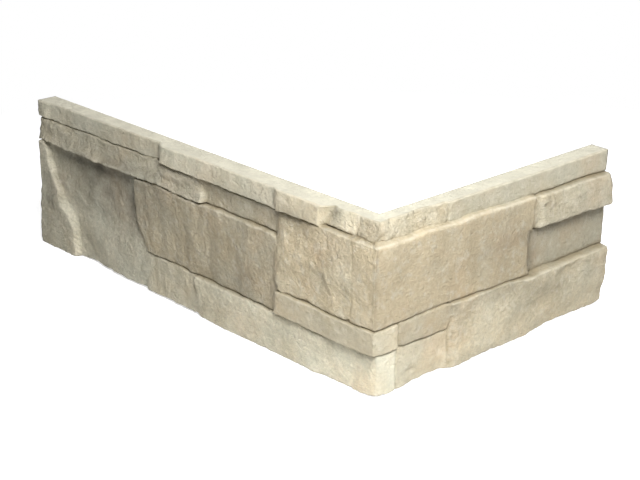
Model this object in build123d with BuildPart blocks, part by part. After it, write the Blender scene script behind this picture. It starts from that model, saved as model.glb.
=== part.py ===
"""Stone veneer corner: one concrete casting that wraps the outside corner of a wall.

A flat bed turns the corner, and its outer side carries mock ledge stones of unequal
length and depth. At the corner each course laps one leg over the other, so that the
lapping stone shows its end on the other leg.

Frame, in millimetres: the origin is the inside corner at the base, where the wall's
edge comes. The long leg runs along -X and shows its stones towards -Y. The short leg
runs along +Y and shows its stones towards +X. +Z is up.
"""

import os
from math import cos, radians, sin

from build123d import *

# Overall sizes
height = 100.0  # base to top
long_leg = 302.0  # inside corner to the cut end of the long leg
short_leg = 186.0  # inside corner to the cut end of the short leg
bed_depth = 9.0  # flat bed behind the stones, the floor of the joints

# Dressing of the stones
joint = 1.2  # gap between neighbouring stones
arris = 1.6  # rounding of a stone's front edges
outline_round = 2.5  # rounding of the corners of a stone's outline
quoin_round = 2.4  # rounding of the outside corner

# Heights of the courses
cap_rise = 11.5  # cap strip along the top
slate_rise = 15.5  # thin slates, below the cap
shelf_rise = 21.5  # shelf stone at the short end, below the cap
base_rise = 26.0  # base stones
ledge_rise = 15.0  # ledge that juts out at the corner, above the base stones
foot_lift = 2.2  # how far the far base stone stops short of the base

# Upright joints of the long leg, as distances from the inside corner
quoin_return = 2.0  # ends of the short leg's cap and quoin stones
cap_rough_end = 27.0
cap_near_end = 66.0
cap_mid_end = 172.0
head_end = 64.5  # head block, beside the quoin
slate_near_end = 127.0
face_foot_end = 185.5  # slanting end of the face block, at its foot
face_head_end = 197.0  # and above the slant
face_slant_rise = 24.0  # height of the slanting stretch
ledge_end = 62.5
base_near_end = 132.0

# Upright joints of the short leg, as distances from the inside corner
quoin_cap_end = 29.5
cap_chip_length = 11.5  # small stone next to it
quoin_head_end = 115.0  # quoin stone, beside the shelf stone
quoin_notch = 4.5  # how much shorter it is beside the niche stone
return_end = 42.0  # ledge and base stones beside the corner

# How far each stone stands out from the back of its leg
cap_far_depth = 13.6
cap_mid_depth = 15.6
cap_near_depth = 16.8
cap_rough_depth = 13.6
quoin_cap_long_depth = 14.2
quoin_cap_short_depth = 13.4
cap_chip_depth = 12.8
cap_short_depth = 13.6
slate_far_depth = 15.0
slate_near_depth = 11.2
split_depth = 16.8
split_hollow_depth = 12.8
face_depth = 16.4
head_depth = 18.6
quoin_long_depth = 19.0
quoin_short_depth = 16.8
shelf_depth = 19.4
niche_depth = 12.4
ledge_long_depth = 20.4
ledge_short_depth = 17.8
ledge_return_depth = 16.6
base_far_depth = 15.2
base_long_depth = 17.4
base_short_depth = 16.4
base_return_depth = 15.4
base_block_depth = 19.0

# How much further out a stone's foot stands than its head
slate_lean = 5.0
shelf_lean = 2.6
base_block_lean = -1.0
base_far_lean = 2.0

# How much further out a stone's end away from the corner stands than its near end
face_slew = -1.6
cap_far_slew = 1.4

# The step across the split block, which runs down towards the corner in a bent line
split_head_in = 10.0  # from the cut end to the low side of the step, at the block's head
split_bend_in = 34.0  # at the bend
split_foot_in = 43.0  # and at the block's foot
split_bend_up = 37.0  # height of the bend
split_toe_up = 22.0  # height below which the step runs straight down
split_slope = 50.0  # slope of the step, in degrees from square

# Facets, where a split face falls away from a line across it
splay_slope = 0.6  # of the splayed ends of three stones
cap_near_splay = 4.5  # length of each splayed end
slate_far_splay = 7.0
shelf_splay = 5.5
head_facet_along = 36.0  # from the inside corner to a point where the head block's starts
head_facet_up = 25.0  # and the point's height above the ledge
head_facet_turn = 120.0  # degrees from the long leg's X axis towards up
head_facet_slope = 0.13
toe_up = 15.0  # height at which the base block's foot starts to recede
toe_slope = 0.25  # a run of 1 recedes by this
chip_along = 20.0  # from the inside corner to a point where the base return's chip starts
chip_up = 8.0  # and the point's height
chip_turn = 255.0  # degrees from the short leg's Y axis towards up
chip_slope = 0.25

base_bed = base_rise  # bed joints, as heights above the base
ledge_bed = base_bed + ledge_rise
cap_bed = height - cap_rise
slate_bed = cap_bed - slate_rise
shelf_bed = cap_bed - shelf_rise
cap_chip_end = quoin_cap_end + cap_chip_length
quoin_foot_end = quoin_head_end - quoin_notch

half_joint = joint / 2
rim_top = height + half_joint  # free sides lie half a joint outside the stones' sizes
rim_base = -half_joint
rim_long = -long_leg - half_joint
rim_short = short_leg + half_joint

long_face = Plane.XZ  # local x is X and local z points out of the wall
short_face = Plane.YZ  # local x is Y and local z points out of the wall
outwards = Axis((0, 0, 0), (1, -1, 0))  # from the inside corner to the outside corner


def box_outline(start, end, foot, head):
    """The corners of an upright stone face between two upright and two bed joints."""
    return [(start, foot), (end, foot), (end, head), (start, head)]


def facet(face, along, up, depth, turn, slope):
    """The plane of a facet, which falls away from a point of a stone's face.

    turn is the way that it falls, in degrees from the face's local x axis towards up.
    """
    downhill = face.x_dir * cos(radians(turn)) + face.y_dir * sin(radians(turn))
    return Plane(face.from_local_coords((along, up, depth)), z_dir=face.z_dir + downhill * slope)


def face_stone(face, outline, depth, lean=0.0, slew=0.0, facets=()):
    """A stone on one leg. Its outline runs along the middle of the joints round it.

    lean is how much further out the face's foot stands than its head, and slew how
    much further out it stands at the high end of the local x axis than at the low end.
    The facets are cut last, so their edges are as sharp as fresh chips.
    """
    along = [point[0] for point in outline]
    up = [point[1] for point in outline]
    width = max(along) - min(along)
    rise = max(up) - min(up)
    middle = ((max(along) + min(along)) / 2, (max(up) + min(up)) / 2, depth)
    tilted = face.z_dir + face.y_dir * (lean / rise) - face.x_dir * (slew / width)
    front = Plane(face.from_local_coords(middle), z_dir=tilted)
    with BuildPart() as stone:
        with BuildSketch(face) as section:
            with BuildLine():
                Polyline(*outline, close=True)
            make_face()
            offset(amount=-half_joint, kind=Kind.INTERSECTION)
            fillet(section.vertices(), radius=outline_round)
        extrude(amount=depth + abs(lean) + abs(slew))
        split(bisect_by=front, keep=Keep.BOTTOM)
        shown = stone.faces().sort_by(Axis(face.origin, face.z_dir))[-1]
        fillet(shown.edges(), radius=arris)
        for plane in facets:
            split(bisect_by=plane, keep=Keep.BOTTOM)
    return stone.part


def quoin_stone(long_reach, short_reach, foot, head, long_depth, short_depth, notch=None):
    """A stone that laps the corner, with its reach along each leg from the inside corner.

    notch is a step cut out of the foot of its short end, as its length and height.
    """
    inner = bed_depth / 2  # its back lies inside the bed
    long_end = half_joint - long_reach
    short_end = short_reach - half_joint
    with BuildPart() as stone:
        with BuildSketch(Plane.XY.offset(foot + half_joint)):
            with BuildLine():
                Polyline(
                    (long_end, -inner),
                    (long_end, -long_depth),
                    (short_depth, -long_depth),
                    (short_depth, short_end),
                    (inner, short_end),
                    (inner, -inner),
                    close=True,
                )
            make_face()
        extrude(amount=head - foot - joint)
        if notch:
            with BuildSketch(short_face):
                with Locations((short_end, foot + half_joint)):
                    Rectangle(*notch, align=(Align.MAX, Align.MIN))
            extrude(amount=short_depth, mode=Mode.SUBTRACT)
        long_tip = stone.edges().filter_by(Axis.Y).group_by(Axis.X)[0]
        fillet(long_tip, radius=outline_round)
        on_short = stone.edges().filter_by(Axis.X).filter_by_position(Axis.X, 0, short_depth)
        fillet(on_short.group_by(Axis.Y)[-1], radius=outline_round)
        upright = stone.edges().filter_by(Axis.Z)
        fillet(upright.sort_by(outwards)[-1], radius=quoin_round)
        long_front = stone.faces().sort_by(Axis.Y)[0]
        short_front = stone.faces().sort_by(Axis.X)[-1]
        fronts = ShapeList(long_front.edges() + short_front.edges())
        bend = stone.faces().filter_by(GeomType.CYLINDER).sort_by(outwards)[-1]
        rims = [edge for edge in fronts if edge not in bend.edges().filter_by(Axis.Z)]
        fillet(rims + bend.edges().filter_by(GeomType.CIRCLE), radius=arris)
    return stone.part


def split_block():
    """The tall end block of the long leg, with a step running slantwise down its face."""
    face_slant_top = base_bed + face_slant_rise
    step_foot = split_foot_in - long_leg
    whole = face_stone(
        long_face,
        [
            (rim_long, rim_base),
            (step_foot, rim_base),
            (-face_foot_end, rim_base + foot_lift),
            (-face_foot_end, base_bed),
            (-face_head_end, face_slant_top),
            (-face_head_end, slate_bed),
            (rim_long, slate_bed),
        ],
        split_depth,
    )
    with BuildPart() as stone:
        add(whole)
        with BuildSketch(long_face.offset(split_hollow_depth)):
            with BuildLine():
                Polyline(
                    (step_foot, -height),
                    (0, -height),
                    (0, 2 * height),
                    (split_head_in - long_leg, 2 * height),
                    (split_head_in - long_leg, slate_bed),
                    (split_bend_in - long_leg, split_bend_up),
                    (step_foot, split_toe_up),
                    close=True,
                )
            make_face()
        extrude(amount=split_depth, taper=-split_slope, mode=Mode.SUBTRACT)
    return stone.part


def long_leg_stones():
    """The stones that show on the long leg alone, cap strip first."""
    face_slant_top = base_bed + face_slant_rise
    face_outline = [
        (-face_foot_end, base_bed),
        (-head_end, base_bed),
        (-head_end, slate_bed),
        (-face_head_end, slate_bed),
        (-face_head_end, face_slant_top),
    ]
    cap_far = box_outline(rim_long, -cap_mid_end, cap_bed, rim_top)
    cap_mid = box_outline(-cap_mid_end, -cap_near_end, cap_bed, rim_top)
    cap_near = box_outline(-cap_near_end, -cap_rough_end, cap_bed, rim_top)
    cap_rough = box_outline(-cap_rough_end, -quoin_return, cap_bed, rim_top)
    slate_far = box_outline(rim_long, -slate_near_end, slate_bed, cap_bed)
    slate_near = box_outline(-slate_near_end, -head_end, slate_bed, cap_bed)
    head = box_outline(-head_end, -quoin_return, ledge_bed, cap_bed)
    base_far = box_outline(-face_foot_end, -base_near_end, rim_base + foot_lift, base_bed)
    cap_near_tip = facet(
        long_face, -cap_rough_end - cap_near_splay, cap_bed, cap_near_depth, 0, splay_slope
    )
    slate_far_tip = facet(
        long_face, -slate_near_end - slate_far_splay, slate_bed, slate_far_depth, 0, splay_slope
    )
    head_shoulder = facet(
        long_face,
        -head_facet_along,
        ledge_bed + head_facet_up,
        head_depth,
        head_facet_turn,
        head_facet_slope,
    )
    return [
        face_stone(long_face, cap_far, cap_far_depth, slew=-cap_far_slew),
        face_stone(long_face, cap_mid, cap_mid_depth),
        face_stone(long_face, cap_near, cap_near_depth, facets=[cap_near_tip]),
        face_stone(long_face, cap_rough, cap_rough_depth),
        face_stone(
            long_face, slate_far, slate_far_depth, lean=slate_lean, facets=[slate_far_tip]
        ),
        face_stone(long_face, slate_near, slate_near_depth),
        split_block(),
        face_stone(long_face, face_outline, face_depth, slew=-face_slew),
        face_stone(long_face, head, head_depth, facets=[head_shoulder]),
        face_stone(long_face, base_far, base_far_depth, lean=base_far_lean),
    ]


def corner_stones():
    """The stones that lap the corner, from the cap down."""
    notch = (quoin_head_end - quoin_foot_end, shelf_bed - ledge_bed)
    return [
        quoin_stone(
            quoin_return, quoin_cap_end, cap_bed, rim_top, quoin_cap_long_depth, quoin_cap_short_depth
        ),
        quoin_stone(
            quoin_return, quoin_head_end, ledge_bed, cap_bed, quoin_long_depth, quoin_short_depth, notch
        ),
        quoin_stone(ledge_end, 0, base_bed, ledge_bed, ledge_long_depth, ledge_short_depth),
        quoin_stone(base_near_end, 0, rim_base, base_bed, base_long_depth, base_short_depth),
    ]


def short_leg_stones():
    """The stones that show on the short leg alone, cap strip first."""
    cap_chip = box_outline(quoin_cap_end, cap_chip_end, cap_bed, rim_top)
    cap_short = box_outline(cap_chip_end, rim_short, cap_bed, rim_top)
    shelf = box_outline(quoin_head_end, rim_short, shelf_bed, cap_bed)
    niche = box_outline(quoin_foot_end, rim_short, ledge_bed, shelf_bed)
    ledge_return = box_outline(0, return_end, base_bed, ledge_bed)
    base_return = box_outline(0, return_end, rim_base, base_bed)
    base_block = box_outline(return_end, rim_short, rim_base, ledge_bed)
    shelf_tip = facet(
        short_face, quoin_head_end + shelf_splay, shelf_bed, shelf_depth, 180, splay_slope
    )
    base_chip = facet(short_face, chip_along, chip_up, base_return_depth, chip_turn, chip_slope)
    base_toe = facet(short_face, return_end, toe_up, base_block_depth, 270, toe_slope)
    return [
        face_stone(short_face, cap_chip, cap_chip_depth),
        face_stone(short_face, cap_short, cap_short_depth),
        face_stone(short_face, shelf, shelf_depth, lean=shelf_lean, facets=[shelf_tip]),
        face_stone(short_face, niche, niche_depth),
        face_stone(short_face, ledge_return, ledge_return_depth),
        face_stone(short_face, base_return, base_return_depth, facets=[base_chip]),
        face_stone(
            short_face, base_block, base_block_depth, lean=base_block_lean, facets=[base_toe]
        ),
    ]


stones = long_leg_stones() + corner_stones() + short_leg_stones()

with BuildPart() as veneer_corner:
    with BuildSketch(Plane.XY):
        with BuildLine():
            Polyline(
                (0, 0),
                (-long_leg, 0),
                (-long_leg, -bed_depth),
                (bed_depth, -bed_depth),
                (bed_depth, short_leg),
                (0, short_leg),
                close=True,
            )
        make_face()
    extrude(amount=height)
    add(stones)

veneer_corner.part.label = "veneer_corner"
os.makedirs("parts", exist_ok=True)
export_step(veneer_corner.part, "parts/veneer_corner.step")
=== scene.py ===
"""Looks of the stone veneer corner: its split stone faces, cast back, finish, light and camera.

The casting is one closed mesh. Its show face is worked out stone by stone, as how far each
point of the face stands out from the back of its leg. A Geometry Nodes tree then gives the
split faces their fine lumps and pits.

Sizes of the stones are in millimetres, in the frame of the part: the origin is the inside
corner at the base, the long leg runs along -X and the short leg along +Y, and +Z is up.
"""

import math
from dataclasses import dataclass

import bmesh
import bpy
import numpy as np
from mathutils import Matrix, Vector


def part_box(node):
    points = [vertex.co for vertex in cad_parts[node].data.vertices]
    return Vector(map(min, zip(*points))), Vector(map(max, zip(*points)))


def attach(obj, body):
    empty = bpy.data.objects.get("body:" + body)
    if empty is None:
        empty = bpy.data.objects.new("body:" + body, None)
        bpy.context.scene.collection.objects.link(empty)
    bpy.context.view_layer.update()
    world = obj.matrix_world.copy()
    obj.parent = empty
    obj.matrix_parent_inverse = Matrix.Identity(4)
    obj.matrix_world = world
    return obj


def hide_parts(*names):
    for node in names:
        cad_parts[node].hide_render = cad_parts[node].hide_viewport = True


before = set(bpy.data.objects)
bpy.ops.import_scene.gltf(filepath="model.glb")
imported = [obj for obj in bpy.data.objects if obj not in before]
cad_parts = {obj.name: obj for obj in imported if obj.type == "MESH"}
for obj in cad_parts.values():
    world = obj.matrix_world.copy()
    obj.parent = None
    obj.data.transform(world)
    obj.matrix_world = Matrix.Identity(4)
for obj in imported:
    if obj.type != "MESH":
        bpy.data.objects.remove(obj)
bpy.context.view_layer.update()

MM = 0.001
NODE = "veneer_corner"
node_low, node_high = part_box(NODE)
HEIGHT = (node_high.z - node_low.z) / MM
LONG_LEG = -node_low.x / MM  # inside corner to the cut end of each leg
SHORT_LEG = node_high.y / MM

# Joints of the mock stones: the beds are open cracks, and at the uprights the stones lap
HALF_BED = 0.3
LAP = 0.5
KIND_CHANGE = 3.0  # over which length a bed turns into an upright at a stone's corner
BEVEL_BOW = 1.5  # how a slanting cut bows, 1 is straight
BED_SLOPE = 9.0  # how steeply a stone's side falls into a bed joint
UPRIGHT_SLOPE = 1.1  # and at an upright
BED_DEPTH = 8.4  # the deepest a joint goes, measured from the back
TUCK = 3.0  # how far a stone runs in under a prouder neighbour
GROOVE_DEPTH = 1.3  # of the line where a stone meets a prouder neighbour
GROOVE_REACH = 0.85
SEAM_REACH = 2.2  # how wide the soft step at an upright is
TOP_ARRIS = 0.7  # rounding of the front edge of the top, and of the foot
FOOT_ARRIS = 0.9
JOINT_REACH = 1.6  # how far from a stone's outline the joints hold dust
NEXT_TO = (2.6, 1.6)  # a stone tucks in from this far off its neighbour, fully after the second length
PROUDER = (0.3, 0.7)  # a neighbour counts as prouder from the first step on, fully after the second
FILL_REACH = 2.5  # how far each side of a bed its filling reaches
FILL_FADE = 4.0  # and how far from the stone's ends it starts
FILL_BELOW = 0.3  # the filling lies this far below the lower stone
SEAM_TURNS = 30  # how often the face is evened out for the soft step at an upright

# Wear of the stones' edges
UPRIGHT_ARRIS = 1.7  # share of a stone's arris at its uprights
ARRIS_LESS = 0.9  # and how much less it is at its beds
WEAR_SHARE = 0.4
WEAR_SPACING = 14.0
JAG = (0.05, 0.12)  # jags of an upright edge, and the part that comes with the roughness of the face
JAG_SPACING = 5.0
JOG_SPACING = 9.0  # of the bends in chips, cracks, and the stains and painted light patches
CHIP_JOG = 2.5
CRACK_JOG = (0.15, 0.4)  # along and up
PATCH_RAGGED = 0.5
PATCH_LIMITS = (0.2, 1.8)  # least and most share of a patch's tone
CREASE_WAVER = 0.9

# Make-up of a split face: swell, chips and waves
SWELL_SPACING = (38.0, 30.0)  # along and up
CHIP_SHARE = 2.4
SMALL_CHIPS = 0.45  # share of chips half as large
WAVE_SHARE = 0.7
WAVE_LENGTH = 1.5  # in spacings of the chips
SEED_STEP = 40  # between the seeds of one stone and the next
LONG_SEED = 1000  # the first of the long leg, and of the short leg
SHORT_SEED = 3000
CELLS = 128  # of a noise, each way, before it repeats

# Nominal place of the outside corner, where the two faces are joined
CORNER_LONG = 15.0  # on the long face, past the inside corner
CORNER_SHORT = -17.0  # on the short face, before the inside corner
CORNER_BLEND = 20.0  # the last stretch before the corner, which follows the real corner
DEVELOPED_SHIFT = CORNER_LONG - CORNER_SHORT  # from a length on the short leg to one round the corner

BASE_COURSE = 25.0  # height of the base course, whose corner is worn
CORNER_WORN = 5.5  # radius of the outside corner there
CORNER_CRISP = 0.4  # and above
CORNER_CHANGE = 8.0  # over which height the one turns into the other
CORNER_EASE = 0.7  # how it eases, 1 is even

# How far the cut end of the long leg is broken back, as heights and lengths
LONG_END_BREAK = ((0, 1.3), (14, 0.9), (30, 0.5), (52, 1.3), (72, 2.6), (74, 1.7), (80, 0.8), (87.5, 1.7),
                  (88.6, 1.1), (90, 0.4), (92, 0.0), (100, 0.0))
END_WEAR = 0.6  # further wear of both cut ends
END_SPACING = (11.0, 40.0)  # of that wear, upwards and along
END_REACH = 8.0  # how far along the leg the wear of its end is felt

# Waves that bend the joints out of line, each as height, spacing along, spacing up and seed
UPRIGHT_WAVES = ((1.1, 22, 17, 7), (0.5, 40, 6, 17))
BED_WAVES = ((0.8, 26, 40, 8), (0.45, 10, 25, 18), (0.25, 4, 25, 19))
END_HELD = 15.0  # the waves fade out this near to the cut ends
RIM_HELD = 8.0  # and this near to the top and foot
CORNER_HELD = (8.0, 12.0)  # there are none this near to the corner, and they grow over the second length
SINK_SPREAD = 7.0  # how far above and below a sinking bed the face goes with it

# The foot: lifted under the far stones of the long leg, and chipped
LIFTED_FROM = -262.0
LIFTED_TO = -131.0
LIFT_GROWS = (12.0, 3.0)  # lengths in which the lift grows and ends
FOOT_LIFT = 1.2
FOOT_CHIPS = (0.8, 0.4)  # height of the chips on the long leg, and what the short leg has more
FOOT_CHANGE = 8.0  # length past the inside corner in which they grow
CHIP_WAVES = ((1.0, 13, 9), (0.5, 6, 29))  # share, spacing and seed
CORNER_TOE = 0.8  # lift of the foot at the corner
CORNER_TOE_REACH = 9.0
FOOT_REACH = 9.0  # height up to which the foot's wear is felt

# The grain of the split faces runs at a slant
GRAIN_SLANT = math.radians(40)
GRAIN_STRETCH = 0.8
PIT_RADIUS = 0.3  # of a pit in the split faces, in pit spacings

# Fine lumps of a face, as a share of the full height
LEAST_LUMPS = 0.25
LUMPS_WITH_ROUGH = 0.8
FINE_LUMPS = 0.7  # a face that is rougher than this has larger chips, not larger lumps

# Dust in the joints and painted shade in the other hollows, wear and a painted highlight on the ridges, which
# the finish shows
DARK_HOLLOW = 0.8  # a point this far behind its neighbours is fully darkened: dust in a joint, painted shade elsewhere
PAINTED_SHADE_OFF_JOINTS = 0.1
DUST_IN_JOINTS = 0.9
DUST_AND_SHADE_GAIN = 1.25
PALE_RIDGE = 0.6  # and one this far before them is fully pale, from wear and, where it faces up, a painted highlight
WORN_ANYWHERE = 0.3
# The pale ridges are wear anywhere, and a painted highlight on ridges that face up
HIGHLIGHT_FACING_UP = 0.7
FACES_UP = 0.25  # fall of the face from row to row that counts as facing up

# Points of the mesh: finest spacing, beside a joint, widest spacing, and how far from a joint that is
ROW_STEPS = (0.3, 0.95, 3.2)
COLUMN_STEPS = (0.5, 1.2, 4.0)
# How far from the outside corner its extra columns of points are
CORNER_COLUMNS = (0.12, 0.3, 0.6, 1.2, 1.8, 2.4, 3.0, 3.6, 4.2, 4.8, 5.4)
STEEP_FALL = 2.0  # a crease that falls more than this has closer points too
TOP_ROWS = 8
BACK_ROWS = 8
BASE_ROWS = 4
BACK_ARRIS = 0.8  # the small rounding along the edges of the back
SAME_POINT = 0.01  # points this close are one
NO_LENGTH = 0.005  # and an edge this short is none
TOP_HOLLOW = 0.12  # how uneven the top is
TOP_SPACING = 9.0


@dataclass
class Facet:
    """A slope on a split face: from a point, the face falls away in one direction."""

    along: float
    up: float
    towards: float  # degrees, 0 is along the leg and 90 is up
    slope: float
    fall: float  # the most that it falls
    soft: float = 0.8  # rounding at the start and end of the slope


@dataclass
class Crease:
    """A line up a split face, past which the face falls away towards its end or its start."""

    line: tuple  # points of the line, each along, up, the run in which the face falls, and the fall
    soft: float = 0.3  # rounding at the line and at the end of the fall
    to_end: bool = True


@dataclass
class Dent:
    """A shallow hollow in a split face, or a bulge if its depth is less than zero."""

    along: float
    up: float
    half_long: float
    half_high: float
    depth: float


@dataclass
class Crack:
    """A fine crack along a line of points on a face."""

    line: tuple
    depth: float = 0.6
    reach: float = 0.5


@dataclass
class StainAndPaintedLight:
    """A patch on a leg that is darker than the rest, or lighter if its tone is more than zero. Some patches
    are stains, some are painted shade under overhangs and in hollows, and some are painted highlights on lit
    faces and edges.
    """

    along: float
    up: float
    half_long: float
    half_high: float
    tone: float


@dataclass
class Sink:
    """A bed of the short leg that runs downhill: its height, where it starts and ends, and by how much."""

    bed: float
    start: float
    end: float
    by: float


@dataclass
class Stone:
    """One mock stone. Its outline runs along the middle of the joints round it."""

    name: str
    start: float
    end: float
    foot: float
    head: float
    depth: float  # how far its face stands out from the back of the leg
    lean: float = 0.0  # how much further out its foot stands than its head
    slew: float = 0.0  # how much further out its end stands than its start
    arris: float = 0.9  # rounding of its edges
    corner: float = 2.2  # rounding of its outline
    rough: float = 0.3  # height of the split face's chips
    chips: str = "even"  # which way they run
    tone: float = 0.0  # lighter or darker than the mix
    warm: float = 0.5  # from grey-white, 0, to tan, 1
    facets: tuple = ()
    creases: tuple = ()
    dents: tuple = ()
    notch: tuple = ()  # a step out of the foot of its end, as length and height
    bevel: tuple = ()  # a slanting cut off its lower start, as length and height
    filled: float = 0.0  # how far the joint along its head is filled up, 1 is flush


# Spacing of the chips along the leg and upwards
CHIP_SPACING = {"even": (10.0, 8.0), "level": (20.0, 6.0), "upright": (8.0, 20.0), "broad": (20.0, 13.0),
                "coarse": (34.0, 17.0)}

PAST_CORNER = 60.0  # the stones that lap the corner run on this far past the inside corner
PAST_END = 6.0  # the stones run on past the cut ends of the legs
LONG_END = -LONG_LEG - PAST_END
SHORT_END = SHORT_LEG + PAST_END

LONG_STONES = [
    Stone("cap_far", LONG_END, -172, 88.5, HEIGHT, 13.9, slew=-1.2, rough=0.3, chips="upright",
          warm=0.1, arris=0.7, tone=-0.1,
          creases=(Crease(((-294, 88, 4, 1.7), (-291, 100, 4, 1.5))),)),
    Stone("cap_mid", -172, -66, 87.8, HEIGHT, 15.6, rough=0.3, chips="upright", warm=0.12, arris=0.7,
          tone=0.06, creases=(Crease(((-157, 87, 2, 0.2), (-155, 100, 2, 0.8))),
                             Crease(((-106, 87, 2, 0.4), (-104, 100, 2, 0.1))))),
    Stone("cap_near", -66, -14, 87.4, HEIGHT, 16.8, rough=0.3, warm=0.5, arris=1.0, corner=4.0,
          tone=0.08, creases=(Crease(((-30, 87, 5, 7.2), (-29, 100, 5, 7.2))),)),
    Stone("cap_rough", -40, -2, 89.0, HEIGHT, 13.0, lean=1.8, rough=1.0, warm=0.45, arris=0.9, tone=0.22,
          creases=(Crease(((-24, 87, 4, 1.8), (-19, 94, 7, 2.6), (-14, 100, 9, 2.8)), to_end=False),),
          dents=(Dent(-8, 92, 5, 3.5, -0.9), Dent(-10, 100, 6, 2.0, 0.8), Dent(-3, 99.5, 3, 1.6, 0.8))),
    Stone("quoin_cap", -2, PAST_CORNER, 89.0, HEIGHT, 13.2, lean=3.4, rough=0.8, warm=0.65, tone=-0.08,
          arris=0.9),
    Stone("slate_far", LONG_END, -123, 73.6, 88.5, 15.0, lean=5.0, rough=1.1, chips="level", warm=0.28,
          tone=-0.19, corner=5.0,
          creases=(Crease(((-131, 73, 3, 6.0), (-132, 80, 3, 5.0), (-137, 88, 4, 3.0)), 0.3),),
          dents=(Dent(-163, 78.6, 18, 2.0, 0.4), Dent(-190, 85, 14, 3, 0.5), Dent(-250, 76, 25, 2.5, -0.5))),
    Stone("slate_near", -140, -64.5, 73, 88.0, 13.2, rough=0.5, chips="level", warm=0.5, tone=-0.2),
    Stone("split_block", LONG_END, -180, 0, 73, 17.4, rough=0.75, chips="broad", corner=3.0, warm=0.1,
          tone=-0.07,
          creases=(Crease(((-263.6, 4, 2.2, 3.9), (-264.4, 11, 3.3, 3.9), (-265.0, 21, 3.2, 3.9),
                           (-270.2, 26, 5.6, 3.9), (-276.2, 31, 7.4, 4.2), (-279.4, 36, 6.4, 4.2),
                           (-278.2, 41, 3.6, 3.9), (-281.6, 46, 1.4, 3.7), (-285.9, 51, 1.8, 3.6),
                           (-288.4, 56, 2.3, 3.5), (-291.8, 61, 2.0, 3.4), (-292.6, 67, 1.5, 3.3),
                           (-295, 73, 1.4, 3.2)), 0.4),
                   Crease(((-266, 0, 9, 0.3), (-268, 20, 9, 1.0), (-279, 32, 9, 1.8), (-282, 44, 9, 1.2),
                           (-298, 73, 9, 0.2)), 0.5, to_end=False)),
          dents=(Dent(-236, 64, 58, 30, 2.4), Dent(-193, 12, 22, 16, -1.0))),
    # Its darker tone is partly its own and partly painted shade from the slates above it
    Stone("face_block", -197, -64.5, 26, 73, 16.4, slew=1.6, rough=0.6, chips="upright", warm=0.68,
          tone=-0.24, corner=3.0, bevel=(11.5, 24.0),
          creases=(Crease(((-128, 26, 4, 0.5), (-131, 50, 3, 0.7), (-126, 73, 4, 0.3)), 0.5),
                   Crease(((-90, 26, 9, 1.0), (-95, 48, 5, 0.7), (-90, 60, 3, 0.1)), 0.5, to_end=False)),
          dents=(Dent(-172, 45, 6, 9, 0.4), Dent(-147, 38, 5, 14, 0.4), Dent(-112, 45, 5, 22, 0.4),
                 Dent(-85, 63, 2.2, 1.2, 0.9))),
    Stone("head_block", -64.5, -2, 41, 88.5, 18.9, rough=0.8, corner=5.0, warm=0.81, tone=0.02, arris=1.4,
          bevel=(3.5, 9.0),
          facets=(Facet(-36, 66, 120, 0.15, 5.0, 2.0),), dents=(Dent(-52, 86, 13, 6, 1.4),)),
    Stone("quoin", -2.6, PAST_CORNER, 41, 89.0, 19.0, rough=0.5, warm=0.97, tone=0.02, filled=0.4,
          dents=(Dent(15, 89.5, 12, 6, 1.7),)),
    Stone("ledge", -62.5, PAST_CORNER, 26, 41, 20.0, rough=0.25, corner=2.0, warm=0.7, tone=-0.09),
    Stone("base_far", -185.5, -127, 0, 26, 15.8, lean=1.6, slew=1.6, rough=0.5, warm=0.36, tone=-0.06),
    Stone("base_near", -137, PAST_CORNER, 0, 26, 17.4, rough=0.6, chips="broad", arris=1.2, warm=0.27,
          tone=0.18, bevel=(6.0, 26.0), facets=(Facet(-8, 14, 300, 0.2, 1.5),),
          dents=(Dent(-31, 1, 4, 4, -1.6),)),
]

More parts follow.
